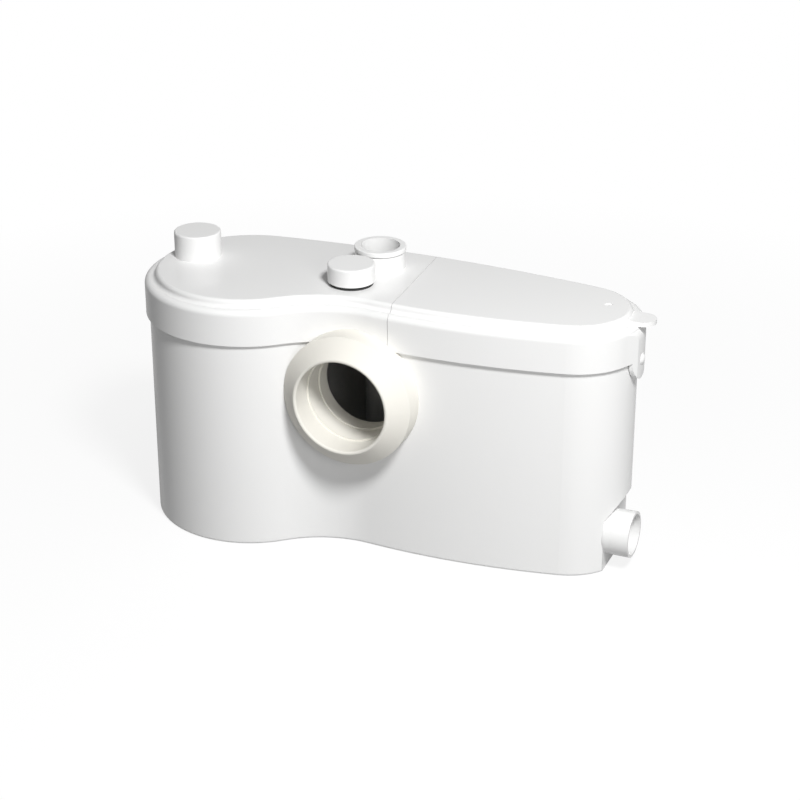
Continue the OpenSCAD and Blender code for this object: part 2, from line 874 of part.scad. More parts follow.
module motor_plate() {
  color("lightgray") difference() {
    union() {
      at_pump(plate_z) cylinder(r = plate_r, h = plate_t);
      at_pump(can_z) cylinder(r = bearing_r + 4, h = bearing_h);
    }
    at_pump(can_z) cylinder(r = bearing_r + running, h = bearing_h + 1);
    at_pump(plate_z - 1) cylinder(r = seal_r, h = plate_t + 2);
    screw_places() translate([0, 0, -1]) cylinder(r = screw_r, h = plate_t + 2);
  }
}

module shaft_seal() {
  color("black") at_pump(plate_z) ring(seal_r - running, shaft_r + running, plate_t);
}

module lower_bearing() {
  color("silver") at_pump(can_z) ring(bearing_r, shaft_r + running, bearing_h);
}

module upper_bearing() {
  color("silver") at_pump(cap_z - bearing_h - 6) ring(bearing_r, shaft_r + running, bearing_h);
}

module motor_shaft() {
  color("silver") at_pump(shaft_low) cylinder(r = shaft_r, h = shaft_top - shaft_low);
}

module rotor_core() {
  color("dimgray") at_pump(core_low) ring(rotor_r, shaft_r, core_h);
}

module stator_core() {
  color("slategray") at_pump(core_low) ring(can_r - can_wall - fixed, rotor_r + air_gap, core_h);
}

// End turns of the winding, a rounded ring above and below the core
module stator_windings() {
  inside = rotor_r + 4;
  thick = can_r - can_wall - inside - 4;
  soft = 5;
  color("peru") for (z = [core_low - winding_h, core_low + core_h])
    at_pump(z) rotate_extrude() translate([inside, 0]) polygon(concat(
      round_off(soft, soft, soft, 180, 270, 3),
      round_off(thick - soft, soft, soft, -90, 0, 3),
      round_off(thick - soft, winding_h - soft, soft, 0, 90, 3),
      round_off(soft, winding_h - soft, soft, 90, 180, 3)
    ));
}

module motor_can() {
  color("gray") at_pump(can_z) ring(can_r, can_r - can_wall, can_h);
}

// Top of the motor: bearing seat below, saddle for the capacitor above
module motor_cap() {
  color("lightgray") difference() {
    union() {
      at_pump(cap_z) cylinder(r = can_r, h = cap_t);
      at_pump(cap_z - bearing_h - 6) cylinder(r = bearing_r + 4, h = bearing_h + 7);
      for (s = [-1, 1])
        translate([pump_x + s * 20 - 4, capacitor_y - 12, cap_z + cap_t - 1]) cube([8, 24, 10]);
    }
    at_pump(cap_z - bearing_h - 7) cylinder(r = bearing_r + running, h = bearing_h + 1);
    at_pump(cap_z - 8) cylinder(r = shaft_r + 2, h = 9);
    translate([pump_x - 40, capacitor_y, capacitor_z])
      rotate([0, 90, 0]) cylinder(r = capacitor_r + fixed, h = 80);
  }
}

module motor_screws() {
  color("silver") screw_places() {
    translate([0, 0, -flange_t]) cylinder(r = screw_r - running, h = flange_t + plate_t);
    translate([0, 0, plate_t]) cylinder(r = screw_r + 1.6, h = 3.5);
  }
}

module capacitor() {
  color("whitesmoke") translate([pump_x - capacitor_len / 2, capacitor_y, capacitor_z]) rotate([0, 90, 0]) {
    cylinder(r = capacitor_r, h = capacitor_len);
    for (s = [-1, 1]) translate([s * 5 - 3, -0.5, capacitor_len]) cube([6, 1, 7]);
  }
}

module terminal_block() {
  ways = 4;
  pitch = 9;
  deep = 18;
  tall = 16;
  color("whitesmoke") translate([pump_x - ways * pitch / 2, 14, cap_z + cap_t]) difference() {
    cube([ways * pitch, deep, tall]);
    for (i = [0:ways - 1]) {
      translate([(i + 0.5) * pitch, deep / 2, tall - 6]) cylinder(r = 2.5, h = 7);
      translate([(i + 0.5) * pitch - 2.5, -1, 3]) cube([5, deep / 2 - 2, 5]);
    }
  }
}

module air_tube() {
  slot = air_r;
  color("gainsboro") difference() {
    at_air(floor_t) ring(air_r, air_r - 2, switch_z - floor_t);
    at_air(floor_t) translate([-slot / 2, -2 * air_r, -1]) cube([slot, 4 * air_r, 17]);
  }
}

module pressure_switch() {
  color("gray") difference() {
    at_air(switch_z) cylinder(r = switch_r, h = switch_h);
    at_air(switch_z - 1) cylinder(r = 5, h = switch_h / 2);
    at_air(switch_z + 3) cylinder(r = switch_r - 7, h = switch_ledge);
    at_air(switch_z + switch_ledge) cylinder(r = switch_r - 3, h = switch_h - switch_ledge - 3);
    at_air(switch_z + 4) cylinder(r = stem_r + running, h = switch_h);
  }
}

module switch_diaphragm() {
  color("black") at_air(switch_z + switch_ledge) cylinder(r = switch_r - 3 - fixed, h = diaphragm_t);
}

module switch_plunger() {
  foot_z = switch_z + switch_ledge + diaphragm_t + loose;
  color("orange") at_air(foot_z) {
    cylinder(r = switch_r / 2, h = foot_t);
    cylinder(r = stem_r, h = stem_top - foot_z);
  }
}

module microswitch() {
  base = switch_z + switch_h;
  lever = stem_top + plunger_travel + 1 - base;
  color("black") at_air(base) {
    translate([6, -10, 0]) cube([10, 20, lever + 6]);
    translate([-stem_r - 2, -3, lever]) cube([stem_r + 10, 6, 1.2]);
  }
}

module side_inlet_pipe() {
  color("white") difference() {
    union() {
      at_side(recess_x + root_len) cylinder(r = side_r, h = side_reach - root_len);
      at_side(recess_x) cylinder(r = root_r, h = root_len + 1);
      at_side(stub_x) cylinder(r = stub_r, h = stub_len + 1);
      side_ears();
    }
    at_side(stub_x - 1) cylinder(r = side_r - side_wall, h = side_end);
    translate([side_hinge_x, side_y, side_hinge_z]) cross_pin(side_pin_r + 0.02, 60);
  }
}

module side_flap() {
  color("dimgray") difference() {
    union() {
      at_side(stub_x - flap_t) cylinder(r = side_r - 0.5, h = flap_t);
      translate([side_hinge_x, side_y, side_hinge_z]) cross_pin(side_pin_r + 2, 16);
      translate([stub_x - flap_t, side_y - 8, side_z + side_r - 6])
        cube([flap_t, 16, side_hinge_z - side_z - side_r + 6]);
    }
    translate([side_hinge_x, side_y, side_hinge_z]) cross_pin(side_pin_r + running, 60);
  }
}

module side_flap_pin() {
  color("silver") translate([side_hinge_x, side_y, side_hinge_z]) cross_pin(side_pin_r, 25);
}

// Places a shape on the rear wall's outer face, pointing straight out of it
module at_gland(out) {
  translate([rear_c.x, rear_c.y, gland_z])
    rotate(gland_turn) translate([rear_r - tank_inset + out, 0, 0]) rotate([0, 90, 0]) children();
}

module cable_gland() {
  flange = 5;
  dome = 9;
  inside = tank_wall + 0.2;
  color("whitesmoke") difference() {
    union() {
      at_gland(0.1) cylinder(r = gland_r + 5, h = flange, $fn = 6);
      at_gland(flange) cylinder(r1 = gland_r + 2, r2 = gland_r - 2, h = dome);
      at_gland(-inside - 5) cylinder(r = gland_r, h = inside + 6);
      at_gland(-inside - 4.1) cylinder(r = gland_r + 4, h = 4, $fn = 6);
    }
    at_gland(-inside - 6) cylinder(r = 4, h = inside + dome + 20);
  }
}

tank();
main_cover();
service_cover();
main_gasket();
service_gasket();
clamp_screw();
clamp_nut();
inlet_sleeve();
top_plug();
vent_cap();
vent_seal();
carbon_filter();
discharge_sleeve();
check_valve_body();
check_flap();
check_flap_pin();
riser_pipe();
hose_coupling();
pump_pads();
pump_volute();
impeller();
impeller_nut();
cutter_basket();
grinder_blade();
motor_plate();
shaft_seal();
lower_bearing();
motor_shaft();
rotor_core();
stator_core();
stator_windings();
motor_can();
upper_bearing();
motor_cap();
motor_screws();
capacitor();
terminal_block();
air_tube();
pressure_switch();
switch_diaphragm();
switch_plunger();
microswitch();
side_inlet_pipe();
side_flap();
side_flap_pin();
cable_gland();
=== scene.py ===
"""Looks of a macerator toilet pump: finishes, small trim, light and camera round its solids.

Lengths are in metres, apart from those of the camera.
"""

from __future__ import annotations

import logging
import math
from collections.abc import Mapping, Sequence
from dataclasses import dataclass, field
from enum import Enum
from typing import ClassVar

import bmesh
import bpy
from mathutils import Matrix, Vector

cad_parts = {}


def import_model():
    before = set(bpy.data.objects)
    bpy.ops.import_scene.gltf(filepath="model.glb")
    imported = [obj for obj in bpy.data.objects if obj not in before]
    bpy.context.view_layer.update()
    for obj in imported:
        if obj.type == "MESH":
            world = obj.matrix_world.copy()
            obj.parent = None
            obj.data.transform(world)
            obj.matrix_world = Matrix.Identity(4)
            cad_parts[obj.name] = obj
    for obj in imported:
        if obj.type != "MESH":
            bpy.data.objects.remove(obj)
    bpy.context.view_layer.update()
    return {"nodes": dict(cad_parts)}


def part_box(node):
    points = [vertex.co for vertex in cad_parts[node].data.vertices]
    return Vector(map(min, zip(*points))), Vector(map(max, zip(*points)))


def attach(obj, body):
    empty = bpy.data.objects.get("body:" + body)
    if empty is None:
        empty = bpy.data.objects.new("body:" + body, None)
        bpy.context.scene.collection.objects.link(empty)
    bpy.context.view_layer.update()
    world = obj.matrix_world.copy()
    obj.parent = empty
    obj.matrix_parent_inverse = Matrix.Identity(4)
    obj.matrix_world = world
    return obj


LOG = logging.getLogger("macerator")
MM = 0.001
RIGHT_ANGLE = math.pi / 2.0
NOISE_MEAN = 0.5
# Radians that a Wave node turns per unit of its coordinate and of its scale
WAVE_RADIANS = 20.0

Triple = tuple[float, float, float]
Outline = Sequence[tuple[float, float]]

WHITE: Triple = (1.0, 1.0, 1.0)
EVEN: Triple = (1.0, 1.0, 1.0)


class Body(Enum):
    """The bodies of the part that the trim rides on."""

    BASE = "base"


class Slot(Enum):
    """Names of material slots in the record; no trim is given one of them."""

    PLATED_STEEL = "plated_steel"
    STAINLESS = "stainless"


def ring(radius: float, steps: int) -> list[tuple[float, float]]:
    """Corners of a regular outline round the origin.

    Args:
        radius: Distance of the corners from the origin.
        steps: Number of corners.

    Returns:
        The corners, anticlockwise from the X axis.
    """
    angles = (math.tau * step / steps for step in range(steps))
    return [(radius * math.cos(angle), radius * math.sin(angle)) for angle in angles]


def opaque(colour: Triple) -> tuple[float, float, float, float]:
    """A colour as a shader's socket takes it.

    Args:
        colour: Red, green and blue.

    Returns:
        The colour with full alpha.
    """
    return (*colour, 1.0)


class Signal:
    """One output socket of a shader tree, with arithmetic that adds Math nodes."""

    def __init__(self, tree: ShaderTree, socket: bpy.types.NodeSocket) -> None:
        """Keeps the tree and the socket.

        Args:
            tree: The tree that the socket is in.
            socket: The output socket.
        """
        self.tree = tree
        self.socket = socket

    def _math(self, operation: str, first: Signal | float, second: Signal | float) -> Signal:
        """Adds one Math node.

        Args:
            operation: Name of the Math node's operation.
            first: Value or signal of the first socket.
            second: Value or signal of the second socket.

        Returns:
            The node's result.
        """
        return self.tree.add("ShaderNodeMath", {"operation": operation}, {0: first, 1: second})

    def __add__(self, other: Signal | float) -> Signal:
        """Adds a value or signal.

        Args:
            other: Value or signal to add.

        Returns:
            The sum.
        """
        return self._math("ADD", self, other)

    __radd__ = __add__

    def __sub__(self, other: Signal | float) -> Signal:
        """Takes a value or signal away.

        Args:
            other: Value or signal to take away.

        Returns:
            The difference.
        """
        return self._math("SUBTRACT", self, other)

    def __rsub__(self, other: float) -> Signal:
        """Takes this signal away from a value.

        Args:
            other: Value to take this signal from.

        Returns:
            The difference.
        """
        return self._math("SUBTRACT", other, self)

    def __mul__(self, other: Signal | float) -> Signal:
        """Multiplies by a value or signal.

        Args:
            other: Value or signal to multiply by.

        Returns:
            The product.
        """
        return self._math("MULTIPLY", self, other)

    __rmul__ = __mul__

    def at_least(self, other: Signal | float) -> Signal:
        """Keeps this signal from going below a value or signal.

        Args:
            other: Value or signal to compare with.

        Returns:
            The larger one.
        """
        return self._math("MAXIMUM", self, other)


class ShaderTree:
    """Adds nodes to the shader tree of a material or of the world."""

    def __init__(self, tree: bpy.types.NodeTree) -> None:
        """Empties the tree and keeps it.

        Args:
            tree: Node tree of a material or of the world.
        """
        tree.nodes.clear()
        self.tree = tree

    def node(
        self,
        kind: str,
        settings: Mapping[str, object] | None = None,
        sockets: Mapping[str | int, object] | None = None,
    ) -> bpy.types.Node:
        """Adds a node of any type.

        Args:
            kind: Blender's name of the node's type.
            settings: Properties of the node, set first.
            sockets: Values or signals of the node's inputs.

        Returns:
            The new node.
        """
        made = self.tree.nodes.new(kind)
        for name, value in (settings or {}).items():
            setattr(made, name, value)
        for name, value in (sockets or {}).items():
            if isinstance(value, Signal):
                self.tree.links.new(value.socket, made.inputs[name])
            else:
                made.inputs[name].default_value = value
        return made

    def add(
        self,
        kind: str,
        settings: Mapping[str, object] | None = None,
        sockets: Mapping[str | int, object] | None = None,
        output: str | int = 0,
    ) -> Signal:
        """Adds a node and gives one of its outputs.

        Args:
            kind: Blender's name of the node's type.
            settings: Properties of the node.
            sockets: Values or signals of the node's inputs.
            output: Name or place of the output.

        Returns:
            The output as a signal.
        """
        return Signal(self, self.node(kind, settings, sockets).outputs[output])

    def place(self) -> Signal:
        """Finds the point on the solid.

        Returns:
            The point in metres, in the object's own frame.
        """
        return self.add("ShaderNodeTexCoord", output="Object")

    def noise(self, scale: float, detail: float = 3.0, stretch: Triple = EVEN) -> Signal:
        """Noise over the solid.

        Args:
            scale: Spots per metre.
            detail: Number of finer layers.
            stretch: Scale along each axis, for a grain with a direction.

        Returns:
            The noise, from 0 to 1, about NOISE_MEAN on average.
        """
        where = self.add("ShaderNodeMapping", None, {"Vector": self.place(), "Scale": stretch})
        sockets = {"Vector": where, "Scale": scale, "Detail": detail}
        return self.add("ShaderNodeTexNoise", None, sockets, "Fac")

    def blend(self, factor: Signal, first: Triple, second: Triple) -> Signal:
        """Mixes two colours.

        Args:
            factor: Share of the second colour.
            first: Colour at 0.
            second: Colour at 1.

        Returns:
            The mixed colour.
        """
        # Sockets 6 and 7 and output 2 are the Mix node's colours
        sockets = {0: factor, 6: opaque(first), 7: opaque(second)}
        return self.add("ShaderNodeMix", {"data_type": "RGBA"}, sockets, 2)

    def bump(self, height: Signal, depth: float) -> Signal:
        """A surface normal from a height.

        Args:
            height: Height, in full steps.
            depth: Depth of a full step, in metres.

        Returns:
            The normal.
        """
        sockets = {"Height": height, "Distance": depth}
        return self.add("ShaderNodeBump", None, sockets, "Normal")


@dataclass(frozen=True)
class Finish:
    """A plain finish: one colour with faint changes of tone and gloss, and a fine grain.

    Attributes:
        name: Name of its material.
        colour: Colour where it is palest.
        roughness: Mean roughness.
        metallic: Share of metal.
        coat: Weight of a clear coat.
        tone: Share by which the colour is darker on average.
        tone_scale: Spots of tone per metre.
        gloss_change: Range of the roughness.
        gloss_fineness: Spots of gloss to one spot of tone.
        grain_scale: Spots of grain per metre.
        grain_detail: Number of finer layers in the grain.
        grain_depth: Depth of the grain.
        stretch: Scale of the grain along each axis.
    """

    name: str
    colour: Triple
    roughness: float
    metallic: float = 0.0
    coat: float = 0.0
    tone: float = 0.03
    tone_scale: float = 9.0
    gloss_change: float = 0.05
    gloss_fineness: float = 4.0
    grain_scale: float = 700.0
    grain_detail: float = 2.0
    grain_depth: float = 0.02 * MM
    stretch: Triple = EVEN

    def height(self, tree: ShaderTree) -> Signal:
        """Adds the height of the grain.

        Args:
            tree: The material's tree.

        Returns:
            The height, in steps of the grain's depth.
        """
        return tree.noise(self.grain_scale, self.grain_detail, self.stretch)

    def base(self, tree: ShaderTree) -> Signal:
        """Adds the colour over the surface.

        Args:
            tree: The material's tree.

        Returns:
            The colour, on average darker than the finish's own by the share in tone.
        """
        red, green, blue = (channel * (1.0 - self.tone / NOISE_MEAN) for channel in self.colour)
        darker = (red, green, blue)
        return tree.blend(tree.noise(self.tone_scale), self.colour, darker)

    def gloss(self, tree: ShaderTree) -> Signal:
        """Adds the roughness over the surface.

        Args:
            tree: The material's tree.

        Returns:
            The roughness.
        """
        spots = tree.noise(self.gloss_fineness * self.tone_scale)
        return self.roughness + (spots - NOISE_MEAN) * self.gloss_change

    def material(self) -> bpy.types.Material:
        """Makes the finish's material, or gives the one that was made before.

        Returns:
            The material.
        """
        known = bpy.data.materials.get(self.name)
        if known is not None:
            return known
        made = bpy.data.materials.new(self.name)
        made.use_nodes = True
        tree = ShaderTree(made.node_tree)
        sockets = {
            "Base Color": self.base(tree),
            "Roughness": self.gloss(tree),
            "Metallic": self.metallic,
            "Coat Weight": self.coat,
            "Normal": tree.bump(self.height(tree), self.grain_depth),
        }
        surface = tree.add("ShaderNodeBsdfPrincipled", None, sockets)
        tree.node("ShaderNodeOutputMaterial", None, {"Surface": surface})
        made.diffuse_color = opaque(self.colour)
        return made


@dataclass(frozen=True)
class Banded(Finish):
    """A finish with fine bands, one above the other, such as stacked sheets or wound wire.

    Attributes:
        pitch: Distance from band to band.
        band_depth: Depth of the grooves between the bands.
        warp: How far the bands wander.
    """

    pitch: float = 1.0 * MM
    band_depth: float = 0.2 * MM
    warp: float = 0.0

    def height(self, tree: ShaderTree) -> Signal:
        """Adds the height of the bands.

        Args:
            tree: The material's tree.

        Returns:
            The height, in steps of the grain's depth.
        """
        settings = {"wave_type": "BANDS", "bands_direction": "Z", "wave_profile": "SIN"}
        per_metre = math.tau / (WAVE_RADIANS * self.pitch)
        sockets = {"Vector": tree.place(), "Scale": per_metre, "Distortion": self.warp}
        wave = tree.add("ShaderNodeTexWave", settings, sockets, "Fac")
        return wave * (self.band_depth / self.grain_depth)


WHITE_SHELL = Finish(
    "white_shell", (0.86, 0.86, 0.855), 0.19, tone=0.008, gloss_change=0.04, grain_depth=0.006 * MM
)
WHITE_CAP = Finish("white_cap", (0.87, 0.87, 0.865), 0.34, tone=0.008, grain_depth=0.012 * MM)
IVORY_RUBBER = Finish(
    "ivory_rubber", (0.725, 0.719, 0.698), 0.5, tone=0.015, grain_depth=0.04 * MM
)
BLACK_RUBBER = Finish("black_rubber", (0.02, 0.02, 0.021), 0.6, grain_depth=0.05 * MM)
GREY_RUBBER = Finish("grey_rubber", (0.1, 0.1, 0.105), 0.6, grain_depth=0.05 * MM)
GREY_PLASTIC = Finish("grey_plastic", (0.5, 0.51, 0.52), 0.42)
BLACK_PLASTIC = Finish("black_plastic", (0.03, 0.03, 0.032), 0.45)
AMBER_PLASTIC = Finish("amber_plastic", (0.72, 0.32, 0.05), 0.4)
CHARCOAL_FELT = Finish(
    "charcoal_felt", (0.03, 0.031, 0.034), 0.95, grain_scale=900.0, grain_depth=0.5 * MM
)
BARE_STEEL = Finish("bare_steel", (0.62, 0.62, 0.61), 0.28, metallic=1.0, stretch=(1.0, 1.0, 0.04))
PLATED_STEEL = Finish("plated_steel", (0.66, 0.66, 0.63), 0.32, metallic=1.0, tone=0.05)
CAST_METAL = Finish(
    "cast_metal", (0.66, 0.67, 0.68), 0.48, metallic=1.0, grain_scale=420.0, grain_depth=0.08 * MM
)
CORE_SHEETS = Banded(
    "core_sheets", (0.22, 0.23, 0.25), 0.45, metallic=0.6, pitch=0.65 * MM, band_depth=0.1 * MM
)
WOUND_COPPER = Banded(
    "wound_copper",
    (0.62, 0.27, 0.11),
    0.34,
    metallic=0.7,
    tone=0.12,
    pitch=1.1 * MM,
    band_depth=0.4 * MM,
    warp=2.5,
)
CAN_PAINT = Finish("can_paint", (0.21, 0.22, 0.24), 0.4, coat=0.2)


class Sculpt:
    """Collects the faces of one piece of trim and makes its object.

    Attributes:
        bevel_from: Turn of an edge above which it gets a bevel.
        bevel_segments: Faces across a bevel.
        bevel_fullness: Roundness of a bevel, 0.5 for a true arc.
        sharp_from: Turn of an edge above which it is shaded sharp.
    """

    bevel_from: ClassVar[float] = math.radians(40.0)
    bevel_segments: ClassVar[int] = 2
    bevel_fullness: ClassVar[float] = 0.6
    sharp_from: ClassVar[float] = math.radians(35.0)

    def __init__(self) -> None:
        """Starts with no faces."""
        self.mesh = bmesh.new()

    def prism(self, outline: Outline, low: float, high: float, place: Matrix) -> None:
        """Adds a prism on an outline.

        Args:
            outline: Corners in order, anticlockwise seen from above.
            low: Height of its lower end.
            high: Height of its upper end.
            place: Where the prism's own axes lie in the part's frame.
        """
        lower = [self.mesh.verts.new(place @ Vector((x, y, low))) for x, y in outline]
        upper = [self.mesh.verts.new(place @ Vector((x, y, high))) for x, y in outline]
        self.mesh.faces.new(lower[::-1])
        self.mesh.faces.new(upper)
        for index, start in enumerate(lower):
            after = (index + 1) % len(lower)
            self.mesh.faces.new((start, lower[after], upper[after], upper[index]))

    def lathe(self, profile: Outline, place: Matrix, steps: int) -> None:
        """Adds a closed profile turned round the local Z axis.

        Args:
            profile: Radius and height of each corner in order, none of them on the axis.
            place: Where the local axes lie in the part's frame.
            steps: Number of steps round the axis.
        """
        sections = []
        for along, across in ring(1.0, steps):
            points = (place @ Vector((r * along, r * across, z)) for r, z in profile)
            sections.append([self.mesh.verts.new(point) for point in points])
        for step, section in enumerate(sections):
            beyond = sections[(step + 1) % steps]
            for index, corner in enumerate(section):
                after = (index + 1) % len(profile)
                self.mesh.faces.new((corner, beyond[index], beyond[after], section[after]))

    def soften(self, width: float) -> None:
        """Bevels every edge that turns by more than bevel_from.

        Args:
            width: Width of the bevel.
        """
        self.mesh.normal_update()
        closed = (edge for edge in self.mesh.edges if edge.is_manifold)
        bmesh.ops.bevel(
            self.mesh,
            geom=[edge for edge in closed if edge.calc_face_angle() > self.bevel_from],
            offset=width,
            segments=self.bevel_segments,
            profile=self.bevel_fullness,
            affect="EDGES",
        )

    def piece(self, name: str, finish: Finish, body: Body) -> None:
        """Makes the object, gives it its finish and ties it to a body.

        Args:
            name: Name of the piece.
            finish: Its finish.
            body: Body that it rides on.
        """
        bmesh.ops.recalc_face_normals(self.mesh, faces=self.mesh.faces)
        data = bpy.data.meshes.new(name)
        self.mesh.to_mesh(data)
        self.mesh.free()
        data.shade_smooth()
        data.set_sharp_from_angle(angle=self.sharp_from)
        data.materials.append(finish.material())
        made = bpy.data.objects.new(name, data)
        bpy.context.scene.collection.objects.link(made)
        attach(made, body.value)
        LOG.info("trim: %s in %s", name, finish.name)


@dataclass
class SubAssembly:
    """Nodes of the part that belong together: the finish of each, and the trim made on them.

    Attributes:
        title: Name of the sub-assembly in the log.
        finishes: Finish of each node, by the node's name.
    """

    title: ClassVar[str] = ""
    finishes: ClassVar[Mapping[str, Finish]] = {}

    def dress(self, nodes: Mapping[str, bpy.types.Object]) -> None:
        """Gives each node its material and reports it.

        Args:
            nodes: The part's nodes by name.
        """
        for node, finish in self.finishes.items():
            mesh = nodes[node].data
            mesh.materials.clear()
            mesh.materials.append(finish.material())
            LOG.info("%s: %s in %s", self.title, node, finish.name)

    def build(self) -> None:
        """Makes the trim, where there is any."""


@dataclass
class Housing(SubAssembly):
    """Tank, the two covers with their gaskets, the clamp and the cable gland."""

    title: ClassVar[str] = "housing"
    finishes: ClassVar[Mapping[str, Finish]] = {
        "tank": WHITE_SHELL,
        "main_cover": WHITE_SHELL,
        "service_cover": WHITE_SHELL,
        "main_gasket": GREY_RUBBER,
        "service_gasket": GREY_RUBBER,
        "clamp_screw": WHITE_CAP,
        "clamp_nut": PLATED_STEEL,
        "cable_gland": WHITE_CAP,
    }


@dataclass
class Inlets(SubAssembly):
    """The rubber sleeve of the pan inlet, and the low side inlet with its flap."""

    title: ClassVar[str] = "inlets"
    finishes: ClassVar[Mapping[str, Finish]] = {
        "inlet_sleeve": IVORY_RUBBER,
        "side_inlet_pipe": WHITE_SHELL,
        "side_flap": GREY_RUBBER,
        "side_flap_pin": BARE_STEEL,
    }


@dataclass
class TopFittings(SubAssembly):
    """Plug, vent and discharge sleeve on the lid."""

    title: ClassVar[str] = "top fittings"
    finishes: ClassVar[Mapping[str, Finish]] = {
        "top_plug": WHITE_CAP,
        "vent_cap": WHITE_CAP,
        "vent_seal": BLACK_RUBBER,
        "carbon_filter": CHARCOAL_FELT,
        "discharge_sleeve": WHITE_CAP,
    }


@dataclass
class Discharge(SubAssembly):
    """Riser, check valve and the rubber coupling, with the two clips that hold the coupling.

    Attributes:
        clip_width: Width of a clip's band.
        clip_thick: Thickness of the band at its edges.
        clip_crown: Rise of the band's middle, as a share of its thickness.
        clip_inset: Distance of the band's middle from the coupling's end.
        clip_steps: Steps round the band.
        clip_bevel: Width of the bevels.
        box_length: Length of the screw box, round the coupling.
        box_height: Height of the screw box.
        box_share: Width of the box, as a share of the band's.
        box_sink: Depth of the box in the band.
        screw_r: Radius of the screw's head at its corners.
        screw_corners: Number of the head's corners.
        screw_level: Height of the screw's axis, as a share of the box's height.
        screw_reach: Length of the head outside the box.
        screw_sink: Depth of the head in the box.
    """

    title: ClassVar[str] = "discharge"
    finishes: ClassVar[Mapping[str, Finish]] = {
        "check_valve_body": GREY_PLASTIC,
        "check_flap": GREY_RUBBER,
        "check_flap_pin": BARE_STEEL,
        "riser_pipe": GREY_PLASTIC,
        "hose_coupling": GREY_RUBBER,
    }
    clip_width: float = 9.0 * MM
    clip_thick: float = 0.7 * MM
    clip_crown: float = 0.25
    clip_inset: float = 6.0 * MM
    clip_steps: int = 72
    clip_bevel: float = 0.35 * MM
    box_length: float = 13.0 * MM
    box_height: float = 5.0 * MM
    box_share: float = 0.92
    box_sink: float = 0.3 * MM
    screw_r: float = 3.0 * MM
    screw_corners: int = 6
    screw_level: float = 0.55
    screw_reach: float = 4.5 * MM
    screw_sink: float = 0.2 * MM

    def clip(self, name: str, along: float, centre: Vector, radius: float) -> None:
        """Makes one hose clip: a band, its screw box and the screw's six-sided head.

        Args:
            name: Name of the piece.
            along: Place of its middle along X.
            centre: A point on the coupling's axis.
            radius: Radius of the coupling.
        """
        shape = Sculpt()
        half = self.clip_width / 2.0
        outer = radius + self.clip_thick
        crown = outer + self.clip_crown * self.clip_thick
        middle = Matrix.Translation((along, centre.y, centre.z))
        lie = middle @ Matrix.Rotation(RIGHT_ANGLE, 4, "Y")
        band = [(radius, -half), (outer, -half), (crown, 0.0), (outer, half), (radius, half)]
        shape.lathe(band, lie, self.clip_steps)
        stand = Matrix.Translation((along, centre.y, centre.z + outer - self.box_sink))
        side = self.box_length / 2.0
        deep = self.box_share * half
        box = [(-deep, -side), (deep, -side), (deep, side), (-deep, side)]
        shape.prism(box, 0.0, self.box_height, stand)
        head = stand @ Matrix.Translation((0.0, -side, self.screw_level * self.box_height))
        head = head @ Matrix.Rotation(RIGHT_ANGLE, 4, "X")
        corners = ring(self.screw_r, self.screw_corners)
        shape.prism(corners, -self.screw_sink, self.screw_reach, head)
        shape.soften(self.clip_bevel)
        shape.piece(name, BARE_STEEL, Body.BASE)

    def build(self) -> None:
        """Makes the two clips round the coupling."""
        low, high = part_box("hose_coupling")
        centre = (low + high) / 2.0
        radius = (high.z - low.z) / 2.0
        self.clip("riser_clip", low.x + self.clip_inset, centre, radius)
        self.clip("volute_clip", high.x - self.clip_inset, centre, radius)


@dataclass
class Pump(SubAssembly):
    """Volute and impeller, the cutter basket and its blade."""

    title: ClassVar[str] = "pump"
    finishes: ClassVar[Mapping[str, Finish]] = {
        "pump_pads": GREY_RUBBER,
        "pump_volute": GREY_PLASTIC,
        "impeller": BARE_STEEL,
        "impeller_nut": PLATED_STEEL,
        "cutter_basket": BARE_STEEL,
        "grinder_blade": BARE_STEEL,
    }


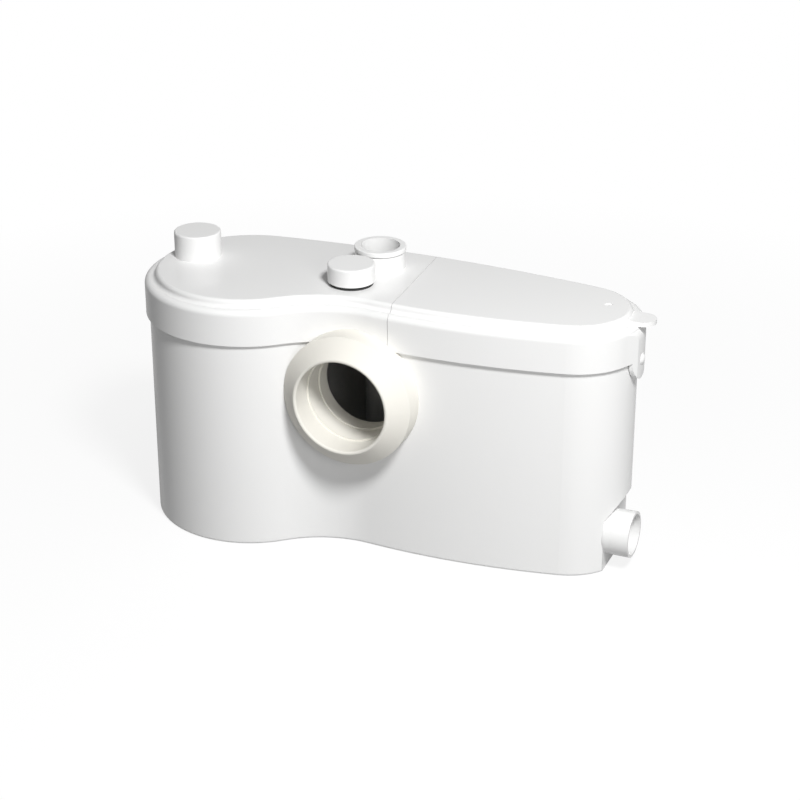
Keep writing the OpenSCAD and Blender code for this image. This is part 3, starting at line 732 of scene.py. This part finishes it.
@dataclass
class Motor(SubAssembly):
    """Motor with its bearings, capacitor and terminal block, and the block's screws.

    Attributes:
        ways: Number of the terminal block's wells.
        well_depth: Depth of a well.
        head_r: Radius of a screw's head.
        head_height: Height of a head.
        head_steps: Steps round the head's lower part.
        head_bevel: Width of the bevels.
        core_top: Top of the lower part, as a share of the head's height.
        half_foot: Foot of the two upper halves, as a share of the head's height.
        half_steps: Steps round one half.
        groove: Width of the groove between the halves.
        first_turn: Turn of the first screw, in degrees.
        next_turn: Turn from one screw to the next, in degrees.
    """

    title: ClassVar[str] = "motor"
    finishes: ClassVar[Mapping[str, Finish]] = {
        "motor_plate": CAST_METAL,
        "shaft_seal": BLACK_RUBBER,
        "lower_bearing": PLATED_STEEL,
        "motor_shaft": BARE_STEEL,
        "rotor_core": CORE_SHEETS,
        "stator_core": CORE_SHEETS,
        "stator_windings": WOUND_COPPER,
        "motor_can": CAN_PAINT,
        "upper_bearing": PLATED_STEEL,
        "motor_cap": CAST_METAL,
        "motor_screws": PLATED_STEEL,
        "capacitor": WHITE_CAP,
        "terminal_block": WHITE_CAP,
    }
    ways: int = 4
    well_depth: float = 6.0 * MM
    head_r: float = 2.2 * MM
    head_height: float = 2.4 * MM
    head_steps: int = 32
    head_bevel: float = 0.15 * MM
    core_top: float = 0.5
    half_foot: float = 0.4
    half_steps: int = 14
    groove: float = 0.7 * MM
    first_turn: float = 20.0
    next_turn: float = 47.0

    def half_head(self, side: float) -> list[tuple[float, float]]:
        """One half of a slotted head, beside its groove.

        Args:
            side: 1 for the half at +Y, -1 for the half at -Y.

        Returns:
            The outline, anticlockwise.
        """
        start = math.asin(self.groove / 2.0 / self.head_r)
        sweep = math.pi - 2.0 * start
        turn = 0.0 if side > 0.0 else math.pi
        steps = range(self.half_steps + 1)
        angles = (turn + start + sweep * step / self.half_steps for step in steps)
        return [(self.head_r * math.cos(angle), self.head_r * math.sin(angle)) for angle in angles]

    def build(self) -> None:
        """Makes the slotted screws at the bottom of the terminal block's wells."""
        low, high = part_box("terminal_block")
        pitch = (high.x - low.x) / self.ways
        across = (low.y + high.y) / 2.0
        level = high.z - self.well_depth
        core = ring(self.head_r, self.head_steps)
        core_height = self.core_top * self.head_height
        half_low = self.half_foot * self.head_height
        for way in range(self.ways):
            shape = Sculpt()
            foot = Vector((low.x + (way + 0.5) * pitch, across, level))
            angle = math.radians(self.first_turn + self.next_turn * way)
            place = Matrix.Translation(foot) @ Matrix.Rotation(angle, 4, "Z")
            shape.prism(core, 0.0, core_height, place)
            for side in (1.0, -1.0):
                shape.prism(self.half_head(side), half_low, self.head_height, place)
            shape.soften(self.head_bevel)
            shape.piece(f"terminal_screw_{way + 1}", PLATED_STEEL, Body.BASE)


@dataclass
class LevelSwitch(SubAssembly):
    """Air tube, pressure switch and microswitch, with the microswitch's three blades.

    Attributes:
        blade_length: Length of a blade outside the microswitch.
        blade_width: Width of a blade.
        blade_thick: Thickness of a blade.
        blade_pitch: Distance from blade to blade.
        blade_sink: Depth of a blade in the microswitch.
        blade_bevel: Width of the bevels.
        nose_share: Length of the cut corners, as a share of the width.
    """

    title: ClassVar[str] = "level switch"
    finishes: ClassVar[Mapping[str, Finish]] = {
        "air_tube": GREY_PLASTIC,
        "pressure_switch": GREY_PLASTIC,
        "switch_diaphragm": BLACK_RUBBER,
        "switch_plunger": AMBER_PLASTIC,
        "microswitch": BLACK_PLASTIC,
    }
    blade_length: float = 7.0 * MM
    blade_width: float = 4.8 * MM
    blade_thick: float = 0.8 * MM
    blade_pitch: float = 6.0 * MM
    blade_sink: float = 0.5 * MM
    blade_bevel: float = 0.15 * MM
    nose_share: float = 0.3

    def build(self) -> None:
        """Makes the blades, which stand out of the microswitch's end away from the plunger."""
        low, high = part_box("microswitch")
        middle = Vector((high.x, (low.y + high.y) / 2.0, (low.z + high.z) / 2.0))
        nose = self.nose_share * self.blade_width
        half = self.blade_width / 2.0
        outline = [
            (-self.blade_sink, -half),
            (self.blade_length - nose, -half),
            (self.blade_length, -half + nose),
            (self.blade_length, half - nose),
            (self.blade_length - nose, half),
            (-self.blade_sink, half),
        ]
        for number, step in enumerate((-1, 0, 1), start=1):
            shape = Sculpt()
            place = Matrix.Translation(middle + Vector((0.0, step * self.blade_pitch, 0.0)))
            place = place @ Matrix.Rotation(RIGHT_ANGLE, 4, "X")
            shape.prism(outline, -self.blade_thick / 2.0, self.blade_thick / 2.0, place)
            shape.soften(self.blade_bevel)
            shape.piece(f"switch_blade_{number}", PLATED_STEEL, Body.BASE)


@dataclass(frozen=True)
class Lamp:
    """A round soft lamp that points at the part.

    Attributes:
        name: Name of the lamp.
        place: Where it stands.
        size: Diameter of its disk.
        watts: Its power.
        aim: Point that it faces.
    """

    name: str
    place: Triple
    size: float
    watts: float
    aim: Triple = (0.0, -0.03, 0.15)

    def build(self) -> None:
        """Makes the lamp."""
        data = bpy.data.lights.new(self.name, "AREA")
        data.shape = "DISK"
        data.size = self.size
        data.energy = self.watts
        lamp = bpy.data.objects.new(self.name, data)
        lamp.location = self.place
        way = Vector(self.aim) - Vector(self.place)
        lamp.rotation_euler = way.to_track_quat("-Z", "Y").to_euler()
        bpy.context.scene.collection.objects.link(lamp)


@dataclass
class Studio:
    """A white floor and sky, a key lamp at the right, a fill lamp in front, and the camera.

    Attributes:
        floor_size: Length of the floor's sides.
        floor_sink: Depth of the floor below the part's foot.
        shadow_share: Share of the shadow that shows at the part.
        shadow_reach: Distance over which the shadow fades out.
        sky: Strength of the sky where it lights the part.
        floor_bounce: Brightness of the floor where it lights the part.
        mirror: Share of white in what glossy surfaces mirror.
        lamps: The lamps.
        eye: Where the camera stands.
        azimuth: Turn of the camera to the left, in degrees.
        pitch: Tilt of the camera below level, in degrees.
        lens: Focal length, in millimetres.
        sensor: Width of the sensor, in millimetres.
    """

    floor_size: float = 8.0
    floor_sink: float = 0.05 * MM
    shadow_share: float = 0.2
    shadow_reach: float = 1.1
    sky: float = 0.16
    floor_bounce: float = 0.3
    mirror: float = 0.4
    lamps: tuple[Lamp, ...] = (
        Lamp("key_lamp", (1.12, -1.2, 2.0), 0.5, 56.0),
        Lamp("fill_lamp", (1.3, -1.45, 0.8), 0.8, 8.5),
    )
    eye: Vector = field(default_factory=lambda: Vector((0.7986, -1.8784, 1.075)))
    azimuth: float = 22.6
    pitch: float = 24.69
    lens: float = 92.4
    sensor: float = 36.0

    def seen(self, tree: ShaderTree) -> Signal:
        """Share of white that a ray meets.

        Args:
            tree: The tree to add the nodes to.

        Returns:
            1 for a ray from the camera, the mirror share for one from a glossy surface,
            and 0 for others.
        """
        rays = tree.node("ShaderNodeLightPath")
        camera = Signal(tree, rays.outputs["Is Camera Ray"])
        glossy = Signal(tree, rays.outputs["Is Glossy Ray"])
        return camera + self.mirror * glossy

    def build_sky(self) -> None:
        """Makes the world: white where it is seen, an even grey where it lights the part."""
        world = bpy.data.worlds.new("studio_sky")
        world.use_nodes = True
        bpy.context.scene.world = world
        tree = ShaderTree(world.node_tree)
        strength = self.sky + self.seen(tree) * (1.0 - self.sky)
        sockets = {"Color": opaque(WHITE), "Strength": strength}
        light = tree.add("ShaderNodeBackground", None, sockets)
        tree.node("ShaderNodeOutputWorld", None, {"Surface": light})

    def build_floor(self) -> None:
        """Makes the floor: white where it is seen, with a soft share of the part's shadow."""
        half = self.floor_size / 2.0
        mesh = bpy.data.meshes.new("floor")
        square = ((-half, -half), (half, -half), (half, half), (-half, half))
        mesh.from_pydata([(x, y, -self.floor_sink) for x, y in square], [], [(0, 1, 2, 3)])
        floor = bpy.data.objects.new("floor", mesh)
        bpy.context.scene.collection.objects.link(floor)
        paint = bpy.data.materials.new("floor_white")
        paint.use_nodes = True
        tree = ShaderTree(paint.node_tree)
        length = {"operation": "LENGTH"}
        away = tree.add("ShaderNodeVectorMath", length, {0: tree.place()}, "Value")
        near = (1.0 - away * (1.0 / self.shadow_reach)).at_least(0.0)
        seen = self.seen(tree)
        share = (1.0 - seen).at_least(near * self.shadow_share)
        grey = (self.floor_bounce, self.floor_bounce, self.floor_bounce)
        glow = tree.add("ShaderNodeEmission", None, {"Color": opaque(WHITE)})
        pale = tree.add("ShaderNodeBsdfDiffuse", None, {"Color": opaque(WHITE)})
        dull = tree.add("ShaderNodeBsdfDiffuse", None, {"Color": opaque(grey)})
        matte = tree.add("ShaderNodeMixShader", None, {0: seen, 1: dull, 2: pale})
        surface = tree.add("ShaderNodeMixShader", None, {0: share, 1: glow, 2: matte})
        tree.node("ShaderNodeOutputMaterial", None, {"Surface": surface})
        mesh.materials.append(paint)

    def build_camera(self) -> None:
        """Makes the camera and sets it as the scene's own."""
        data = bpy.data.cameras.new("camera")
        data.lens = self.lens
        data.sensor_width = self.sensor
        camera = bpy.data.objects.new("camera", data)
        camera.location = self.eye
        camera.rotation_euler = (math.radians(90.0 - self.pitch), 0.0, math.radians(self.azimuth))
        bpy.context.scene.collection.objects.link(camera)
        bpy.context.scene.camera = camera

    def build(self) -> None:
        """Makes the whole studio."""
        bpy.context.scene.view_settings.view_transform = "Standard"
        self.build_sky()
        self.build_floor()
        for lamp in self.lamps:
            lamp.build()
        self.build_camera()
        LOG.info("studio: sky, floor, lamps and camera")


def main() -> None:
    """Loads the part, dresses it and builds the studio round it."""
    logging.basicConfig(level=logging.INFO, format="%(name)s: %(message)s")
    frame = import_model()
    for kind in (Housing, Inlets, TopFittings, Discharge, Pump, Motor, LevelSwitch):
        assembly = kind()
        assembly.dress(frame["nodes"])
        assembly.build()
    Studio().build()


if __name__ == "__main__":
    main()
